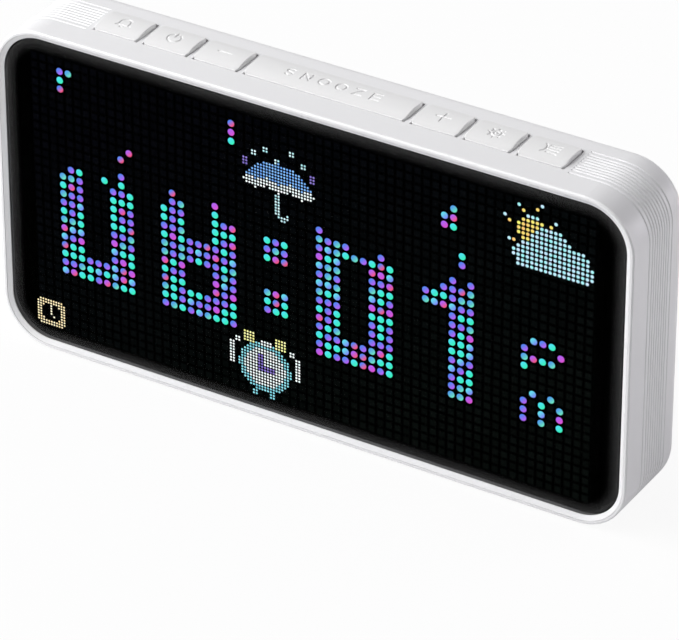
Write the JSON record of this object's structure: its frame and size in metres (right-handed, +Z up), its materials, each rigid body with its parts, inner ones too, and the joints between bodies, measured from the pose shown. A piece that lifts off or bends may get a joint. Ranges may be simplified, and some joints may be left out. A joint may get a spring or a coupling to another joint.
{
  "type": "pixel alarm clock",
  "caption": "Slim white free-standing clock with a wide smoked dot matrix display, fine grooves round its band and a row of crowned push keys on top.",
  "frame": {"origin": "middle of the footprint, on the surface that the feet stand on", "axes": "+X to the right seen from the front, +Y to the rear, +Z up; the display faces -Y"},
  "size_m": [0.216, 0.032, 0.1121],
  "materials": {
    "case_white": "fine satin moulding",
    "frame_white": "smooth satin white",
    "key_white": "fine satin moulding",
    "smoked_window": "smoked clear, polished",
    "mask_black": "matt black",
    "foam_black": "closed-cell foam",
    "circuit_board": "green solder mask",
    "chip_black": "moulded epoxy",
    "switch_black": "moulded black",
    "metal_shell": "drawn steel",
    "tongue_black": "moulded black",
    "cell_steel": "plated steel",
    "screw_steel": "zinc plated",
    "foot_rubber": "soft matt rubber",
    "speaker_plastic": "moulded black",
    "speaker_paper": "pressed paper",
    "magnet_steel": "plated",
    "connector_white": "moulded natural nylon",
    "cable_white": "thin insulation"
  },
  "bodies": {
    "root": {"main_housing": "case_white", "rear_cover": "case_white", "front_frame": "frame_white", "display_lens": "smoked_window", "dot_mask": "mask_black", "display_gasket": "foam_black", "speaker_gasket": "foam_black", "led_board": "circuit_board", "key_board": "circuit_board", "main_board": "circuit_board", "radio_board": "circuit_board", "led_drivers": "chip_black", "processor": "chip_black", "led_header": "chip_black", "stacking_socket": "chip_black", "cell_holder": "chip_black", "key_switches": "switch_black", "power_socket": "metal_shell", "radio_shield": "metal_shell", "socket_tongue": "tongue_black", "backup_cell": "cell_steel", "cover_screws": "screw_steel", "rubber_feet": "foot_rubber", "speaker_frame": "speaker_plastic", "speaker_diaphragm": "speaker_paper", "speaker_magnet": "magnet_steel", "lead_socket": "connector_white", "lead_plug": "connector_white", "key_cable_socket": "connector_white", "main_cable_socket": "connector_white", "speaker_lead": "cable_white", "flat_cable": "cable_white"},
    "bell_button": {"bell_key": "key_white", "bell_plunger": "switch_black"},
    "power_button": {"power_key": "key_white", "power_plunger": "switch_black"},
    "minus_button": {"minus_key": "key_white", "minus_plunger": "switch_black"},
    "snooze_button": {"snooze_key": "key_white", "snooze_plunger": "switch_black"},
    "plus_button": {"plus_key": "key_white", "plus_plunger": "switch_black"},
    "settings_button": {"settings_key": "key_white", "settings_plunger": "switch_black"},
    "brightness_button": {"brightness_key": "key_white", "brightness_plunger": "switch_black"}
  },
  "joints": [
    {"name": "bell_press", "type": "slide", "parent": "root", "child": "bell_button", "axis": [0, 0, -1], "range_m": [0, 0.0005], "stiffness_N_per_m": 400, "springref_m": -0.002},
    {"name": "power_press", "type": "slide", "parent": "root", "child": "power_button", "axis": [0, 0, -1], "range_m": [0, 0.0005], "stiffness_N_per_m": 400, "springref_m": -0.002},
    {"name": "minus_press", "type": "slide", "parent": "root", "child": "minus_button", "axis": [0, 0, -1], "range_m": [0, 0.0005], "stiffness_N_per_m": 400, "springref_m": -0.002},
    {"name": "snooze_press", "type": "slide", "parent": "root", "child": "snooze_button", "axis": [0, 0, -1], "range_m": [0, 0.0005], "stiffness_N_per_m": 400, "springref_m": -0.002},
    {"name": "plus_press", "type": "slide", "parent": "root", "child": "plus_button", "axis": [0, 0, -1], "range_m": [0, 0.0005], "stiffness_N_per_m": 400, "springref_m": -0.002},
    {"name": "settings_press", "type": "slide", "parent": "root", "child": "settings_button", "axis": [0, 0, -1], "range_m": [0, 0.0005], "stiffness_N_per_m": 400, "springref_m": -0.002},
    {"name": "brightness_press", "type": "slide", "parent": "root", "child": "brightness_button", "axis": [0, 0, -1], "range_m": [0, 0.0005], "stiffness_N_per_m": 400, "springref_m": -0.002}
  ]
}
